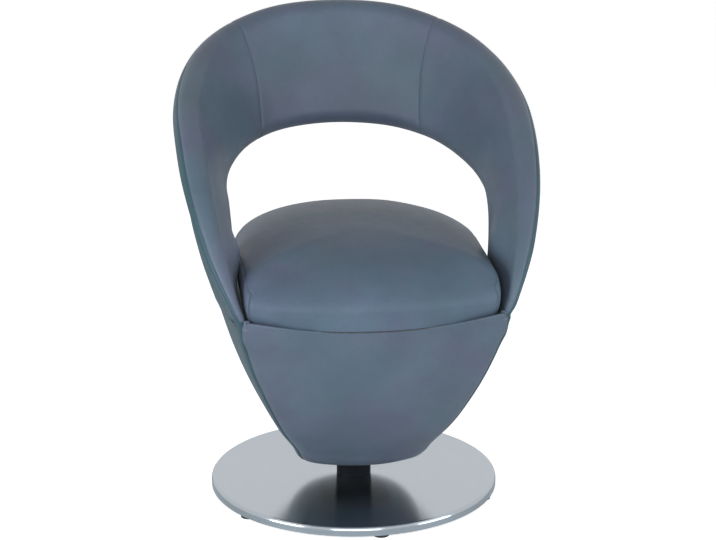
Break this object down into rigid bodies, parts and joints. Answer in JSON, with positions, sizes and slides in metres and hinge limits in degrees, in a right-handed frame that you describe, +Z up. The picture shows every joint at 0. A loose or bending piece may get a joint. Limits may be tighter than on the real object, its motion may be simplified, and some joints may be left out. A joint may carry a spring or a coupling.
{
  "type": "pedestal swivel armchair",
  "caption": "Upholstered armchair with a wraparound hoop back open behind the seat, a loose cushion and a tapered padded body that turns on a round brushed steel floor disc.",
  "frame": {"origin": "on the floor, on the swivel axis, under the middle of the chair", "axes": "+Z up along the swivel axis, the chair faces -Y, +X to the viewer's right from the front"},
  "size_m": [0.5996, 0.6119, 0.8101],
  "materials": {
    "brushed_disc": "brushed, satin",
    "dark_steel": "black powder coat",
    "black_sleeve": "satin black",
    "nylon": "moulded nylon",
    "bearing_steel": "ground",
    "cage_brass": "pressed",
    "zinc_steel": "zinc plated",
    "black_plastic": "moulded",
    "plywood": "raw birch plywood",
    "black_cloth": "woven",
    "foam": "cold moulded foam",
    "inner_leather": "fine pebble grain, satin",
    "outer_leather": "fine pebble grain, satin",
    "seat_leather": "fine pebble grain, satin",
    "under_cloth": "woven"
  },
  "bodies": {
    "base": {"disc_cover": "brushed_disc", "ballast_plate": "dark_steel", "post_flange": "dark_steel", "flange_screws": "zinc_steel", "post_tube": "dark_steel", "column_sleeve": "black_sleeve", "lower_bush": "nylon", "upper_bush": "nylon", "lower_race": "bearing_steel", "glide_1": "black_plastic", "glide_2": "black_plastic", "glide_3": "black_plastic", "glide_4": "black_plastic", "glide_5": "black_plastic", "glide_6": "black_plastic", "glide_screws": "zinc_steel"},
    "bearing_cage": {"ball_cage": "cage_brass", "bearing_balls": "bearing_steel"},
    "chair": {"upper_race": "bearing_steel", "spindle": "bearing_steel", "retaining_washer": "zinc_steel", "retaining_screw": "zinc_steel", "swivel_plate": "dark_steel", "plate_bolts": "zinc_steel", "tee_nuts": "zinc_steel", "mount_board": "plywood", "rib_left": "plywood", "rib_right": "plywood", "front_rail": "plywood", "rear_rail": "plywood", "frame_screws": "zinc_steel", "base_board": "plywood", "dust_cover": "black_cloth", "inner_shell": "plywood", "seat_ring": "plywood", "seat_straps": "black_cloth", "front_facing": "inner_leather", "rear_facing": "outer_leather", "hoop_tube": "dark_steel", "hoop_foot_left": "dark_steel", "hoop_foot_right": "dark_steel", "foot_screws": "zinc_steel", "back_foam": "foam", "arm_foam_left": "foam", "arm_foam_right": "foam", "bucket_foam": "foam", "back_panel": "inner_leather", "arm_panel_left": "inner_leather", "arm_panel_right": "inner_leather", "outer_back": "outer_leather", "outer_arm_left": "outer_leather", "outer_arm_right": "outer_leather", "front_panel": "inner_leather", "body_cover": "outer_leather", "seat_foam": "foam", "seat_top_cover": "seat_leather", "seat_boxing": "seat_leather", "seat_bottom_cover": "under_cloth"}
  },
  "joints": [
    {"name": "swivel", "type": "hinge", "parent": "base", "child": "chair", "pos_m": [0, 0, 0.2], "axis": [0, 0, 1], "continuous": true},
    {"name": "cage_turn", "type": "hinge", "parent": "base", "child": "bearing_cage", "pos_m": [0, 0, 0.2], "axis": [0, 0, 1], "continuous": true}
  ],
  "couplings": [
    {"joint": "cage_turn", "follows": "swivel", "ratio": 0.5}
  ]
}
